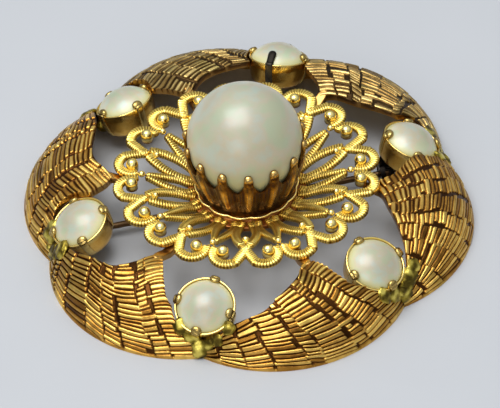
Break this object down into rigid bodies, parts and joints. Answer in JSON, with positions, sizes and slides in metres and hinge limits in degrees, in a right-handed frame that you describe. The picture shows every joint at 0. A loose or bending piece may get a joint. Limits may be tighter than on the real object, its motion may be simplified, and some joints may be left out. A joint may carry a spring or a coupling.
{
  "type": "brooch",
  "caption": "Round domed flower brooch with bark-textured petals, a filigree rosette, cup-set imitation pearls, a large pearl in a crown cup, and a hinged pin with a turning lock.",
  "frame": {"origin": "on the brooch's centre axis, in the plane of the petal rims that it lies on", "axes": "+Z out of the front through the centre pearl; +X along the pin from its hinge to its point; +Y completes the right-handed set"},
  "size_m": [0.0536, 0.056, 0.0194],
  "materials": {
    "petal_metal": "antiqued warm gold, bark-ridged",
    "filigree_metal": "bright yellow gold, rope-ridged",
    "crown_metal": "antiqued gold",
    "cup_metal": "polished gold",
    "pearl": "cream pearl lustre",
    "solder": "rough, greenish yellow",
    "blackened_steel": "blackened",
    "pin_steel": "worn plated steel"
  },
  "bodies": {
    "brooch": {"petal_1": "petal_metal", "petal_2": "petal_metal", "petal_3": "petal_metal", "petal_4": "petal_metal", "petal_5": "petal_metal", "petal_6": "petal_metal", "filigree_rosette": "filigree_metal", "crown_cup": "crown_metal", "center_pearl": "pearl", "side_cup_1": "cup_metal", "side_cup_2": "cup_metal", "side_cup_3": "cup_metal", "side_cup_4": "cup_metal", "side_cup_5": "cup_metal", "side_cup_6": "cup_metal", "side_pearl_1": "pearl", "side_pearl_2": "pearl", "side_pearl_3": "pearl", "side_pearl_4": "pearl", "side_pearl_5": "pearl", "side_pearl_6": "pearl", "cup_solder_joints": "solder", "hinge_bracket": "blackened_steel", "hinge_rivet": "pin_steel", "catch_body": "blackened_steel"},
    "pin": {"pin_stem": "pin_steel"},
    "lock": {"catch_lock": "pin_steel"}
  },
  "joints": [
    {"name": "pin_swing", "type": "hinge", "parent": "brooch", "child": "pin", "pos_m": [-0.0186, 0.0007, 0.00145], "axis": [0, 1, 0], "range_deg": [0, 75]},
    {"name": "lock_turn", "type": "hinge", "parent": "brooch", "child": "lock", "pos_m": [0.0177, 0.0007, 0.00145], "axis": [-1, 0, 0], "range_deg": [0, 80]}
  ]
}
